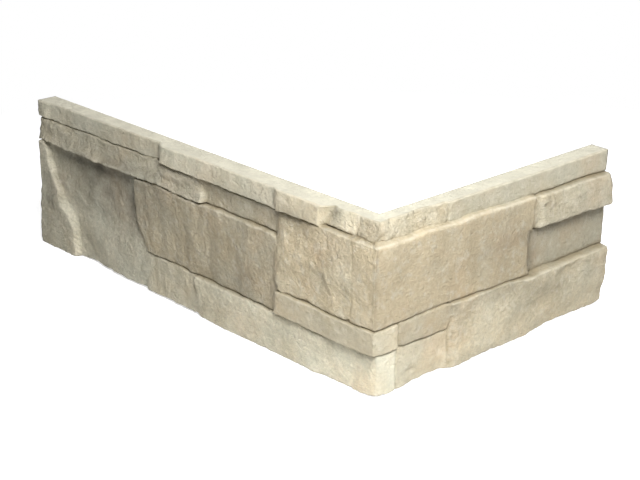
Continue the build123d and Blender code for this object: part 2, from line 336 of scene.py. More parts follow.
SHORT_STONES = [
    Stone("quoin_cap", -PAST_CORNER, 29.5, 89.0, HEIGHT, 11.3, lean=3.0, rough=0.9, warm=0.6, arris=0.9,
          tone=-0.03, dents=(Dent(-17, 89, 10, 6, 1.6), Dent(2, 97, 6, 3, 0.7), Dent(14, 96, 5, 2.5, 0.6))),
    Stone("cap_chip", 29.5, 41, 89.0, HEIGHT, 11.9, lean=1.4, rough=0.6, warm=0.6, tone=-0.04),
    Stone("cap_short", 41, SHORT_END, 88.5, HEIGHT, 13.2, rough=0.15, chips="upright", warm=0.32, arris=0.7,
          tone=-0.18),
    Stone("quoin", -PAST_CORNER, 115, 41, 89.0, 16.8, rough=0.25, chips="broad", warm=0.97,
          notch=(3.6, 22.5), tone=-0.24, arris=2.6, filled=0.85, dents=(Dent(-17, 89.5, 14, 6, 1.7),)),
    Stone("shelf", 115, SHORT_END, 66.3, 88.5, 18.6, lean=2.2, rough=0.8, chips="broad", corner=3.0, warm=0.5,
          tone=-0.12, arris=2.2, facets=(Facet(183, 86, 45, 0.5, 1.6),),
          dents=(Dent(122.5, 80, 2.4, 1.3, 0.8),),
          creases=(Crease(((120, 60, 4, 2.4), (121, 90, 4, 2.4)), to_end=False),)),
    # The niche's darker tone is painted shade from the shelf above it
    Stone("niche", 111.5, SHORT_END, 40.5, 66.3, 13.9, rough=0.15, chips="broad", warm=0.5, tone=-0.34),
    Stone("ledge", -PAST_CORNER, 0, 26, 41, 17.6, rough=0.2, corner=2.0, warm=0.6, tone=-0.04),
    Stone("ledge_return", 0, 42, 26, 41, 16.4, rough=0.2, corner=5.0, warm=0.7, tone=-0.25),
    # Its raised tone is painted light, for the bright foot by the corner
    Stone("base_near", -PAST_CORNER, 0, 0, 26, 16.4, rough=0.25, chips="broad", arris=1.2, warm=0.0,
          tone=0.3),
    Stone("base_return", 0, 42, 0, 26, 15.4, rough=0.3, chips="broad", warm=0.48, tone=0.03,
          dents=(Dent(11, 8, 5, 2.2, 1.3), Dent(24, 1, 14, 5, 1.4), Dent(6, 1, 4, 4, -0.5))),
    Stone("base_block", 42, SHORT_END, 0, 41, 18.4, lean=-0.6, slew=0.4, rough=1.4, chips="coarse",
          warm=0.62, tone=-0.04, facets=(Facet(160, 32, 288, 0.06, 2.2, 0.8), Facet(187, 39, 45, 0.5, 1.2)),
          dents=(Dent(92, 39, 19, 4.5, 1.8), Dent(118, 31, 16, 5, -0.7), Dent(62, 34, 12, 5, 0.6),
                 Dent(184, 2, 8, 8, -0.8)),
          creases=(Crease(((48, 0, 5, 1.2), (48, 26, 5, 1.6), (52, 41, 6, 0.6)), 0.5, to_end=False),)),
]

LONG_CRACKS = [
    Crack(((-196, 78.5), (-186, 79.2), (-176, 78.0)), 0.3, 0.6),
    Crack(((-172, 79.5), (-162, 78.8), (-158, 80.4), (-146, 81.2)), 0.4, 0.6),
    Crack(((-2, 42), (-1.7, 62), (-2.1, 88)), 0.45, 0.45),
    Crack(((-2, 90), (-1.6, 99)), 0.5, 0.5),
]
SHORT_CRACKS = [
    Crack(((0.2, 0), (-0.5, 13), (0.3, 26)), 0.9, 0.6),
    Crack(((0.8, 27), (0.6, 40)), 1.0, 0.6),
    Crack(((42.2, 2), (42, 26), (42.6, 38)), 0.7, 0.7),
    Crack(((29.6, 90), (29, 99)), 0.4, 0.6),
    Crack(((40.5, 89), (41.5, 94), (39.5, 100)), 0.6, 0.8),
]
SHORT_SINKS = [Sink(88.5, 28, 190, 3.0), Sink(41, 44, 110, 2.3), Sink(26, 0, 42, 1.8)]

# Stains and painted light of the long leg. Painted shadow: under the far slate on the split block's hollow
# (-240 and -236), beside the face block's left edge (-202), under the middle and near caps (-100 and -50), at
# the near cap's left end (-68), in the face block's crease (-90) and in the rough cap's recess (-21). Painted
# shade along the rounded outside corner dulls its bright line (15). Painted highlights: on the split block's
# lit facet (-272, -288 and -262), on the far slate's lower part (-280 and -245) and on the foot by the corner
# (2). The others are darker or lighter patches of the stones.
LONG_STAINS_AND_PAINTED_LIGHT = [
    StainAndPaintedLight(-240, 71, 60, 6, -0.22), StainAndPaintedLight(-236, 58, 46, 22, -0.40), StainAndPaintedLight(-290, 36, 6, 10, -0.25),
    StainAndPaintedLight(-296, 14, 12, 18, -0.2), StainAndPaintedLight(-202, 50, 6, 22, -0.22), StainAndPaintedLight(-100, 86, 40, 6, -0.12),
    StainAndPaintedLight(-50, 85, 18, 6, -0.26), StainAndPaintedLight(-90, 40, 6, 14, -0.12), StainAndPaintedLight(-28, 66, 9, 10, -0.08),
    StainAndPaintedLight(2, 8, 34, 16, 0.24), StainAndPaintedLight(-118, 13, 22, 20, -0.12), StainAndPaintedLight(-280, 76, 12, 2.5, 0.25),
    StainAndPaintedLight(-245, 78, 14, 3, 0.15), StainAndPaintedLight(-172, 45, 7, 9, 0.06), StainAndPaintedLight(-272, 33, 8, 8, 0.22),
    StainAndPaintedLight(-288, 58, 4, 8, 0.16), StainAndPaintedLight(-262, 12, 5, 12, 0.14), StainAndPaintedLight(15, 60, 1.4, 30, -0.18),
    StainAndPaintedLight(15, 84, 1.6, 7, -0.14), StainAndPaintedLight(-68, 95, 2.5, 9, -0.15), StainAndPaintedLight(-21, 97, 6, 5, -0.4),
    StainAndPaintedLight(-7, 92, 4, 3, 0.2),
]
# Stains and painted light of the short leg. Painted shadow: under the shelf on the niche (140) and at the
# niche's left end (113), under the ledge's return on the base (22), and in the pocket beside it (44). The
# dark band under the quoin's foot (92) is partly a stain and partly painted shade. Painted shade along the
# rounded outside corner dulls its bright line (-17). A painted highlight lies along the quoin's top shoulder
# (30). The others are darker or lighter patches of the stones.
SHORT_STAINS_AND_PAINTED_LIGHT = [
    StainAndPaintedLight(92, 36, 20, 4, -0.28), StainAndPaintedLight(135, 25, 32, 5, -0.08), StainAndPaintedLight(75, 10, 34, 6, 0.1),
    StainAndPaintedLight(125, 31, 10, 3, -0.12), StainAndPaintedLight(166, 28, 10, 3, -0.12), StainAndPaintedLight(60, 10, 22, 8, 0.08),
    StainAndPaintedLight(140, 63, 45, 5, -0.15), StainAndPaintedLight(113, 52, 6, 14, -0.15), StainAndPaintedLight(85, 62, 24, 16, -0.11),
    StainAndPaintedLight(-17, 60, 1.4, 30, -0.18), StainAndPaintedLight(-17, 84, 1.6, 7, -0.2), StainAndPaintedLight(30, 87.8, 75, 1.8, 0.18),
    StainAndPaintedLight(10, 80, 25, 8, 0.05), StainAndPaintedLight(12, 8, 6, 3, -0.12), StainAndPaintedLight(44, 37, 3.5, 4, -0.35),
    StainAndPaintedLight(22, 22, 24, 4, -0.12), StainAndPaintedLight(122.5, 80, 3, 2, -0.2),
]


def lattice_noise(along, up, seed):
    """Smooth noise, about -1 to 1, with one wave in each unit of length."""
    angles = np.random.default_rng(seed).uniform(0, 2 * math.pi, (CELLS, CELLS))
    column = np.floor(along).astype(int)
    row = np.floor(up).astype(int)
    right = along - column
    above = up - row

    def pull(step, rise):
        angle = angles[(column + step) % CELLS, (row + rise) % CELLS]
        return np.cos(angle) * (right - step) + np.sin(angle) * (above - rise)

    ease_right = right ** 3 * (right * (right * 6 - 15) + 10)
    ease_up = above ** 3 * (above * (above * 6 - 15) + 10)
    low = pull(0, 0) + ease_right * (pull(1, 0) - pull(0, 0))
    high = pull(0, 1) + ease_right * (pull(1, 1) - pull(0, 1))
    full_height = 1.5
    return full_height * (low + ease_up * (high - low))


def rugged_noise(along, up, seed, octaves=4):
    """Noise with finer waves on the coarse ones, each half as high."""
    total = np.zeros_like(along)
    for octave in range(octaves):
        total += lattice_noise(along * 2 ** octave, up * 2 ** octave, seed + octave) / 2 ** octave
    return total


def chipped_noise(along, up, seed):
    """Shallow scallops with sharp ridges between them, one for each unit of length."""
    hollow = 0.7
    unevenness = 0.6
    draw = np.random.default_rng(seed)
    jog_along, jog_up = draw.uniform(0, 1, (2, CELLS, CELLS))
    tilt_along, tilt_up, level = draw.uniform(-0.5, 0.5, (3, CELLS, CELLS))
    column = np.floor(along).astype(int)
    row = np.floor(up).astype(int)
    lowest = np.full_like(along, np.inf)
    for step in (-1, 0, 1):
        for rise in (-1, 0, 1):
            cell = (column + step) % CELLS, (row + rise) % CELLS
            off_along = along - (column + step + jog_along[cell])
            off_up = up - (row + rise + jog_up[cell])
            bowl = hollow * (off_along ** 2 + off_up ** 2) + unevenness * level[cell]
            lowest = np.minimum(lowest, bowl + tilt_along[cell] * off_along + tilt_up[cell] * off_up)
    return lowest


def soft_step(distance, soft):
    """A ramp that starts gently at zero: how far past zero a distance is."""
    return 0.5 * (distance + np.sqrt(distance ** 2 + soft ** 2))


def inside_outline(stone, along, up):
    """Distance inside a stone's outline, less than zero outside it, and what kind its nearest edge is.

    The kind is 1 where that edge is a bed joint, 0 where it is an upright, and between the two near
    the corners of the outline.
    """
    half_long = (stone.end - stone.start) / 2 + LAP
    foot = stone.foot + HALF_BED if stone.foot > 0 else -PAST_END
    head = stone.head - HALF_BED if stone.head < HEIGHT else HEIGHT + PAST_END
    past_along = np.abs(along - (stone.start + stone.end) / 2) - half_long
    past_up = np.abs(up - (foot + head) / 2) - (head - foot) / 2
    to_bed = np.clip(0.5 + (past_up - past_along) / KIND_CHANGE, 0, 1)
    outside = np.hypot(np.maximum(past_along + stone.corner, 0), np.maximum(past_up + stone.corner, 0))
    inside = stone.corner - outside - np.minimum(np.maximum(past_along, past_up) + stone.corner, 0)
    if stone.notch:
        length, rise = stone.notch
        past_notch = np.maximum(stone.end - length + LAP - along, up - stone.foot - rise)
        to_bed = np.where(past_notch < inside, 0.0, to_bed)
        inside = np.minimum(inside, past_notch)
    if stone.bevel:
        length, rise = stone.bevel
        edge = stone.start + length * np.clip(1 - (up - stone.foot) / rise, 0, 1) ** BEVEL_BOW
        past_bevel = (along - edge) * rise / math.hypot(length, rise) + LAP
        to_bed = np.where(past_bevel < inside, 0.0, to_bed)
        inside = np.minimum(inside, past_bevel)
    return inside, to_bed


def away_from(line, along, up):
    """Distance from a line of points."""
    nearest = np.full_like(along, np.inf)
    for (from_along, from_up), (to_along, to_up) in zip(line, line[1:]):
        run = to_along - from_along
        rise = to_up - from_up
        share = ((along - from_along) * run + (up - from_up) * rise) / (run ** 2 + rise ** 2)
        share = np.clip(share, 0, 1)
        off = np.hypot(along - from_along - share * run, up - from_up - share * rise)
        nearest = np.minimum(nearest, off)
    return nearest


def stone_face(stone, along, up, developed, seed):
    """How far a stone's face stands out, with its tilt, facets, creases and chips."""
    length = stone.end - stone.start
    rise = stone.head - stone.foot
    face = stone.depth + stone.slew * ((along - stone.start) / length - 0.5)
    face = face + stone.lean * (0.5 - (up - stone.foot) / rise)
    for facet in stone.facets:
        turn = math.radians(facet.towards)
        past = (along - facet.along) * math.cos(turn) + (up - facet.up) * math.sin(turn)
        fall = soft_step(facet.slope * past, facet.soft)
        face = face - fall + soft_step(fall - facet.fall, facet.soft)
    for crease in stone.creases:
        points_along, points_up, runs, falls = zip(*crease.line)
        waver = CREASE_WAVER * rugged_noise(along * 0, up / JOG_SPACING, seed + 35)
        past = along - np.interp(up, points_up, points_along) - waver
        most = np.interp(up, points_up, falls)
        slope = most / np.interp(up, points_up, runs)
        fall = soft_step(slope * past * (1 if crease.to_end else -1), crease.soft)
        face = face - fall + soft_step(fall - most, crease.soft)
    for dent in stone.dents:
        past = ((along - dent.along) / dent.half_long) ** 2 + ((up - dent.up) / dent.half_high) ** 2
        face = face - dent.depth * np.exp(-past)
    spacing_along, spacing_up = CHIP_SPACING[stone.chips]
    swell = lattice_noise(developed / SWELL_SPACING[0], up / SWELL_SPACING[1], seed)
    jog_along = CHIP_JOG * lattice_noise(developed / JOG_SPACING, up / JOG_SPACING, seed + 11)
    jog_up = CHIP_JOG * lattice_noise(developed / JOG_SPACING, up / JOG_SPACING, seed + 12)
    across = (developed + jog_along) / spacing_along
    upwards = (up + jog_up) / spacing_up
    chips = chipped_noise(across / 2, upwards / 2, seed + 5)
    chips = chips + SMALL_CHIPS * chipped_noise(across, upwards, seed + 6)
    waves = rugged_noise(across / WAVE_LENGTH, upwards / WAVE_LENGTH, seed + 13)
    return face + stone.rough * (swell + CHIP_SHARE * chips + WAVE_SHARE * waves)


def round_off(radius, inside):
    """How far a rounded edge has fallen back at a distance inside it."""
    short_of = np.clip(radius - inside, 0, radius)
    return radius - np.sqrt(radius ** 2 - short_of ** 2)


def stones_apart(stones, along, up, developed, first_seed):
    """Each stone by itself: distance inside its outline, kind of its nearest edge, level of its face."""
    insides = []
    beds = []
    levels = []
    for index, stone in enumerate(stones):
        seed = first_seed + SEED_STEP * index
        jagged = lattice_noise(developed / JAG_SPACING, up / JAG_SPACING, seed + 20)
        jagged = (JAG[0] + JAG[1] * stone.rough) * jagged
        inside, to_bed = inside_outline(stone, along, up)
        insides.append(inside + jagged * (1 - to_bed))
        beds.append(to_bed)
        levels.append(stone_face(stone, along, up, developed, seed))
    return np.array(insides), np.array(beds), np.array(levels)


def filled_beds(stones, along, up):
    """How far the beds of a leg are filled up: 1 is flush."""
    filled = np.zeros_like(along)
    for stone in stones:
        beside_head = np.clip(2 - np.abs(up - stone.head) / FILL_REACH, 0, 1)
        within = np.clip((along - stone.start) / FILL_FADE, 0, 1)
        within = within * np.clip((stone.end - along) / FILL_FADE, 0, 1)
        filled = np.maximum(filled, stone.filled * beside_head * within)
    return filled


def stain_and_painted_light_tone(stains_and_painted_light, along, up, developed, first_seed):
    """What the stains and the painted shade and highlight patches of a leg add to its tone."""
    ragged = 1 + PATCH_RAGGED * rugged_noise(developed / JOG_SPACING, up / JOG_SPACING, first_seed + 17)
    added = np.zeros_like(along)
    for patch in stains_and_painted_light:
        past = ((along - patch.along) / patch.half_long) ** 2 + ((up - patch.up) / patch.half_high) ** 2
        added = added + patch.tone * np.clip(ragged, *PATCH_LIMITS) * np.exp(-past)
    return added


def leg_face(stones, stains_and_painted_light, cracks, along, up, developed, first_seed):
    """How far one leg's show face stands out from its back, and the looks of its stones."""
    insides, beds, levels = stones_apart(stones, along, up, developed, first_seed)
    filled = filled_beds(stones, along, up)
    order = np.argsort(insides, axis=0)
    face = np.full_like(along, BED_DEPTH)
    tone = np.zeros_like(along)
    warm = np.zeros_like(along)
    rough = np.zeros_like(along)
    joint = np.zeros_like(along)
    for index, stone in enumerate(stones):
        beside = np.where(order[-1] == index, order[-2], order[-1])[None]
        inside_beside = np.take_along_axis(insides, beside, 0)[0]
        level_beside = np.take_along_axis(levels, beside, 0)[0]
        bed_beside = np.take_along_axis(beds, beside, 0)[0]
        lower = np.clip((level_beside - levels[index] - PROUDER[0]) / PROUDER[1], 0, 1)
        next_to = np.clip((inside_beside + NEXT_TO[0]) / NEXT_TO[1], 0, 1)
        inside = insides[index] + TUCK * lower * next_to
        groove = GROOVE_DEPTH * (1 - filled) * bed_beside * lower
        groove = groove * np.exp(-(inside_beside / GROOVE_REACH) ** 2)
        wear = lattice_noise(developed / WEAR_SPACING, up / WEAR_SPACING, first_seed + SEED_STEP * index + 30)
        arris = stone.arris * (UPRIGHT_ARRIS - ARRIS_LESS * beds[index]) * (1 + WEAR_SHARE * wear)
        rounding = round_off(arris, inside)
        slope = UPRIGHT_SLOPE + (BED_SLOPE - UPRIGHT_SLOPE) * beds[index]
        side = slope * np.maximum(-inside, 0)
        stands_out = levels[index] - groove - rounding - side
        front = stands_out > face
        face = np.where(front, stands_out, face)
        tone = np.where(front, stone.tone, tone)
        warm = np.where(front, stone.warm, warm)
        rough = np.where(front, stone.rough, rough)
        joint = np.where(front, np.maximum(beds[index], bed_beside) * (1 - filled), joint)
    # The patches add stains, painted shade and painted highlights to the tone
    tone = tone + stain_and_painted_light_tone(stains_and_painted_light, along, up, developed, first_seed)
    first, second = np.take_along_axis(insides, order[[-1, -2]], 0)
    beds_there = np.maximum(*np.take_along_axis(beds, order[[-1, -2]], 0))
    fill = np.minimum(*np.take_along_axis(levels, order[[-1, -2]], 0)) - FILL_BELOW
    face = np.maximum(face, BED_DEPTH + filled * (fill - BED_DEPTH))
    from_edge = np.minimum(np.abs(first), np.abs(second))
    seam = np.exp(-(from_edge / SEAM_REACH) ** 2) * (1 - beds_there)
    face = face + seam * (soften(face, SEAM_TURNS) - face)
    joint = joint * np.exp(-(from_edge / JOINT_REACH) ** 2)
    jog_along = CRACK_JOG[0] * lattice_noise(developed / JOG_SPACING, up / JOG_SPACING, first_seed + 11)
    jog_up = CRACK_JOG[1] * lattice_noise(developed / JOG_SPACING, up / JOG_SPACING, first_seed + 12)
    for crack in cracks:
        open_share = np.exp(-(away_from(crack.line, along + jog_along, up + jog_up) / crack.reach) ** 2)
        face = face - crack.depth * open_share
        joint = np.maximum(joint, open_share)
    wear = 1 + WEAR_SHARE * lattice_noise(developed / WEAR_SPACING, up / WEAR_SPACING, first_seed + 13)
    face = face - round_off(TOP_ARRIS * wear, HEIGHT - up) - round_off(FOOT_ARRIS * wear, up)
    return face, tone, warm, rough, joint


def graded(start, stop, lines, steps):
    """Points from start to stop, closer together beside the given lines."""
    finest, widest, reach = steps
    sample_count = 8000
    samples = np.linspace(start, stop, sample_count)
    nearest = np.min(np.abs(samples[:, None] - np.array(lines)[None, :]), axis=1)
    spacing = finest + (widest - finest) * np.clip(nearest / reach, 0, 1)
    count = np.concatenate([[0], np.cumsum(np.diff(samples) / spacing[:-1])])
    return np.interp(np.linspace(0, count[-1], math.ceil(count[-1]) + 1), count, samples)


def soften(field, times):
    """A field with each point evened out with its neighbours, the given number of times."""
    for _ in range(times):
        padded = np.pad(field, 1, mode="edge")
        field = (padded[:-2, 1:-1] + 2 * field + padded[2:, 1:-1]) / 4
        padded = np.pad(field, 1, mode="edge")
        field = (padded[1:-1, :-2] + 2 * field + padded[1:-1, 2:]) / 4
    return field


def hollowness(face):
    """How far each point of a face lies behind the points round it; the top and foot are free edges."""
    border = 8
    drop = 2.0
    around = np.pad(face, ((border, border), (0, 0)), mode="edge")
    around[:border] -= drop
    around[-border:] -= drop
    return soften(around, border)[border:-border] - face


def uprights(stones):
    """Where the upright joints, free ends and steep creases of a leg's stones are."""
    places = {stone.start for stone in stones} | {stone.end for stone in stones}
    for stone in stones:
        for crease in stone.creases:
            places |= {along for along, _, _, fall in crease.line if fall > STEEP_FALL}
    return sorted(places)


def corner_round(up):
    """Radius of the outside corner: the base course is well worn."""
    worn = np.clip((BASE_COURSE - up) / CORNER_CHANGE, 0, 1) ** CORNER_EASE
    return CORNER_CRISP + (CORNER_WORN - CORNER_CRISP) * worn


def turn_corner(run, stands_out, nominal_run, corner_run, corner_out, radius):
    """Where a leg's points lie, along and out, once its face is joined to the other at the corner.

    The run is measured along the leg and grows towards the outside corner, whose nominal and real
    runs are given. Within the radius of the corner, the face turns through half of the right angle.
    """
    near = np.clip((run - nominal_run + CORNER_BLEND) / CORNER_BLEND, 0, 1)
    run = run + near * (corner_run - nominal_run)
    to_corner = corner_run - run
    rounded = to_corner < radius
    turn = np.where(rounded, math.pi / 4 * (1 - to_corner / radius), 0)
    arm = radius + stands_out - corner_out
    run = np.where(rounded, corner_run - radius + arm * np.sin(turn), run)
    return run, np.where(rounded, corner_out - radius + arm * np.cos(turn), stands_out)


def show_face():
    """Points of the show face, in rows from the foot up and columns round the corner."""
    beds = sorted({stone.foot for stone in LONG_STONES + SHORT_STONES} | {HEIGHT})
    rows = graded(0, HEIGHT, beds, ROW_STEPS)
    long_columns = graded(-LONG_LEG, CORNER_LONG, uprights(LONG_STONES), COLUMN_STEPS)
    short_columns = graded(CORNER_SHORT, SHORT_LEG, uprights(SHORT_STONES), COLUMN_STEPS)
    long_columns = np.union1d(long_columns, CORNER_LONG - np.array(CORNER_COLUMNS))
    short_columns = np.union1d(short_columns, CORNER_SHORT + np.array(CORNER_COLUMNS))

    along_long, up_long = np.meshgrid(long_columns, rows)
    along_short, up_short = np.meshgrid(short_columns, rows)
    long_face, *long_looks = leg_face(
        LONG_STONES, LONG_STAINS_AND_PAINTED_LIGHT, LONG_CRACKS, along_long, up_long, along_long, LONG_SEED
    )
    short_face, *short_looks = leg_face(
        SHORT_STONES, SHORT_STAINS_AND_PAINTED_LIGHT, SHORT_CRACKS, along_short, up_short,
        along_short + DEVELOPED_SHIFT, SHORT_SEED
    )
    corner_x = short_face[:, :1]
    corner_y = long_face[:, -1:]
    radius = corner_round(rows)[:, None]

    x, out = turn_corner(along_long, long_face, CORNER_LONG, corner_x, corner_y, radius)
    long_points = np.stack([x, -out, up_long], axis=-1)
    towards_corner, out = turn_corner(-along_short, short_face, -CORNER_SHORT, corner_y, corner_x, radius)
    short_points = np.stack([out, -towards_corner, up_short], axis=-1)

    points = np.concatenate([long_points, short_points[:, 1:]], axis=1)
    face = np.concatenate([long_face, short_face[:, 1:]], axis=1)
    looks = [np.concatenate([long, short[:, 1:]], axis=1) for long, short in zip(long_looks, short_looks)]
    developed = np.concatenate([long_columns, short_columns[1:] + DEVELOPED_SHIFT])
    return points, face, looks, developed


def bend_joints(points, developed):
    """Bends the joints out of line, as between stones split by hand, and wears the foot."""
    rows, columns = points.shape[:2]
    up = points[..., 2]
    along = np.broadcast_to(developed, (rows, columns))
    free_end = np.minimum(along - along[0, 0], along[0, -1] - along)
    from_corner = np.abs(along - CORNER_LONG)
    held_along = np.clip(free_end / END_HELD, 0, 1)
    held_along = held_along * np.clip((from_corner - CORNER_HELD[0]) / CORNER_HELD[1], 0, 1)
    held_up = np.clip(np.minimum(up, HEIGHT - up) / RIM_HELD, 0, 1)

    def waves(table):
        return sum(height * lattice_noise(along / across, up / upwards, seed)
                   for height, across, upwards, seed in table)

    shift_along = held_along * waves(UPRIGHT_WAVES)
    shift_up = held_up * waves(BED_WAVES)
    for sink in SHORT_SINKS:
        sunk = np.clip((along - DEVELOPED_SHIFT - sink.start) / (sink.end - sink.start), 0, 1)
        shift_up = shift_up - sink.by * sunk * np.exp(-((up - sink.bed) / SINK_SPREAD) ** 2)
    on_long = along <= CORNER_LONG
    ragged = END_WEAR * np.abs(rugged_noise(up / END_SPACING[0], along / END_SPACING[1], 16))
    ragged = ragged + np.where(on_long, np.interp(up, *zip(*LONG_END_BREAK)), 0)
    ragged = ragged * np.clip(1 - free_end / END_REACH, 0, 1)
    shift_along = shift_along + np.where(on_long, ragged, -ragged)
    points[..., 0] += np.where(on_long, shift_along, 0)
    points[..., 1] += np.where(on_long, 0, shift_along)
    points[..., 2] += shift_up

    lifted = np.clip((along - LIFTED_FROM) / LIFT_GROWS[0], 0, 1)
    lifted = lifted * np.clip((LIFTED_TO - along) / LIFT_GROWS[1], 0, 1)
    chipped = FOOT_CHIPS[0] + FOOT_CHIPS[1] * np.clip((along - DEVELOPED_SHIFT) / FOOT_CHANGE, 0, 1)
    foot = FOOT_LIFT * lifted
    for share, spacing, seed in CHIP_WAVES:
        foot = foot + share * chipped * np.abs(rugged_noise(along / spacing, along * 0, seed))
    foot = foot + CORNER_TOE * np.exp(-((along - CORNER_LONG) / CORNER_TOE_REACH) ** 2)
    points[..., 2] += foot * np.clip(1 - up / FOOT_REACH, 0, 1)
    return points


def casting_sections():
    """Closed sections of the casting, one for each column, from the long end to the short end.

    Each section runs up the show face, back over the top, down the back and out along the base.
    """
    points, face, looks, developed = show_face()
    tone, warm, rough, joint = looks
    points = bend_joints(points, developed)
    columns = points.shape[1]
    on_long = developed <= CORNER_LONG
    back = np.zeros((columns, 3))
    back[:, 0] = np.where(on_long, np.minimum(points[-1, :, 0], 0), 0)
    back[:, 1] = np.where(on_long, 0, np.maximum(points[-1, :, 1], 0))
    back_top = back + (0, 0, HEIGHT)
    outward = (points[-1] - back_top) * (1, 1, 0)
    outward = BACK_ARRIS * outward / np.linalg.norm(outward, axis=1, keepdims=True)

    def strip(start, end, count):
        share = np.linspace(0, 1, count + 2)[1:-1, None, None]
        return start + share * (end - start)

    top = strip(points[-1], back_top + outward, TOP_ROWS)
    across = np.linspace(0, 1, TOP_ROWS + 2)[1:-1, None]
    uneven = lattice_noise(np.broadcast_to(developed / TOP_SPACING, (TOP_ROWS, columns)),
                           np.broadcast_to(across * 2, (TOP_ROWS, columns)), 31)
    top[..., 2] -= TOP_HOLLOW * (1 + uneven) * np.sin(math.pi * across)
    back_high = back_top - (0, 0, BACK_ARRIS)
    back_low = back + (0, 0, BACK_ARRIS)
    back_rows = strip(back_high, back_low, BACK_ROWS)
    base = strip(back + outward, points[0], BASE_ROWS)
    edges = [back_top + outward, back_high], [back_low, back + outward]
    sections = np.concatenate([points, top, edges[0], back_rows, edges[1], base])

    hollow = np.concatenate([hollowness(leg) for leg in np.split(face, [on_long.sum()], axis=1)], axis=1)
    upward = np.clip(-np.gradient(soften(face, 1), axis=0) / FACES_UP, 0, 1)
    other_rows = len(sections) - len(points)
    plain = np.zeros((other_rows, columns))
    # Dark share: dust in the joints and painted shade in the other hollows. Pale share: wear on the ridges,
    # with a painted highlight on those that face up.
    dust_and_painted_shade = np.clip(hollow / DARK_HOLLOW, 0, 1) * (PAINTED_SHADE_OFF_JOINTS + DUST_IN_JOINTS * soften(joint, 2))
    worn = np.clip(-hollow / PALE_RIDGE, 0, 1) * (WORN_ANYWHERE + HIGHLIGHT_FACING_UP * upward)
    lumps = LEAST_LUMPS + LUMPS_WITH_ROUGH * np.minimum(rough, FINE_LUMPS)
    attributes = {
        "dust_and_painted_shade": np.concatenate([np.clip(DUST_AND_SHADE_GAIN * soften(dust_and_painted_shade, 2), 0, 1), plain]),
        "wear": np.concatenate([worn, plain]),
        "tone": np.concatenate([soften(tone, 3), plain]),
        "warm": np.concatenate([soften(warm, 3), plain]),
        "split_face": np.concatenate([np.ones_like(face), plain]),
        "lumps": np.concatenate([soften(lumps, 2), plain]),
    }
    return sections, attributes


def casting_blank():
    """The casting as a closed mesh, before its fine relief."""
    sections, attributes = casting_sections()
    rows, columns = sections.shape[:2]
    index = np.arange(rows * columns).reshape(rows, columns)
    above = np.roll(index, -1, axis=0)
    quads = np.stack([index[:, :-1], index[:, 1:], above[:, 1:], above[:, :-1]], axis=-1)
    mesh = bpy.data.meshes.new("casting_blank")
    ends = [index[::-1, 0].tolist(), index[:, -1].tolist()]
    mesh.from_pydata(sections.reshape(-1, 3) * MM, [], quads.reshape(-1, 4).tolist() + ends)
    for name, values in attributes.items():
        attribute = mesh.attributes.new(name, "FLOAT", "POINT")
        attribute.data.foreach_set("value", values.reshape(-1).astype(np.float32))
    shape = bmesh.new()
    shape.from_mesh(mesh)
    bmesh.ops.remove_doubles(shape, verts=shape.verts, dist=SAME_POINT * MM)
    bmesh.ops.dissolve_degenerate(shape, edges=shape.edges, dist=NO_LENGTH * MM)
    bmesh.ops.triangulate(shape, faces=[face for face in shape.faces if len(face.verts) > 4])
    bmesh.ops.recalc_face_normals(shape, faces=shape.faces)
    shape.to_mesh(mesh)
    shape.free()
    blank = bpy.data.objects.new("casting_blank", mesh)
    bpy.context.collection.objects.link(blank)
    return blank


class NodeMaker:
    """Adds nodes to a tree and joins them up."""

    def __init__(self, tree):
        self.tree = tree

    def __call__(self, kind, inputs=None, **settings):
        node = self.tree.nodes.new(kind)
        for name, value in settings.items():
            setattr(node, name, value)
        for name, value in (inputs or {}).items():
            self.feed(node.inputs[name], value)
        return node

    def feed(self, socket, value):
        if isinstance(value, bpy.types.NodeSocket):
            self.tree.links.new(value, socket)
        else:
            socket.default_value = value

    def math(self, operation, first, second=0.0, clamp=False):
        node = self("ShaderNodeMath", {0: first, 1: second}, operation=operation, use_clamp=clamp)
        return node.outputs[0]

    def spread(self, value, low, high, to_low=0.0, to_high=1.0):
        limits = {"Value": value, "From Min": low, "From Max": high, "To Min": to_low, "To Max": to_high}
        return self("ShaderNodeMapRange", limits).outputs["Result"]


def empty_tree(owner):
    """The node tree of a material or of the surroundings, with nothing in it yet."""
    owner.use_nodes = True
    owner.node_tree.nodes.clear()
    return owner.node_tree


def slanting_grain(make, place):
    """A place turned and stretched so that a pattern on it runs with the grain of the split faces."""
    between_legs = make("ShaderNodeVectorRotate", {"Vector": place, "Angle": -math.pi / 4},
                        rotation_type="Z_AXIS").outputs[0]
    turned = make("ShaderNodeVectorRotate", {"Vector": between_legs, "Angle": GRAIN_SLANT},
                  rotation_type="Y_AXIS").outputs[0]
    return make("ShaderNodeVectorMath", {0: turned, 1: (1, 1, GRAIN_STRETCH)},
                operation="MULTIPLY").outputs[0]


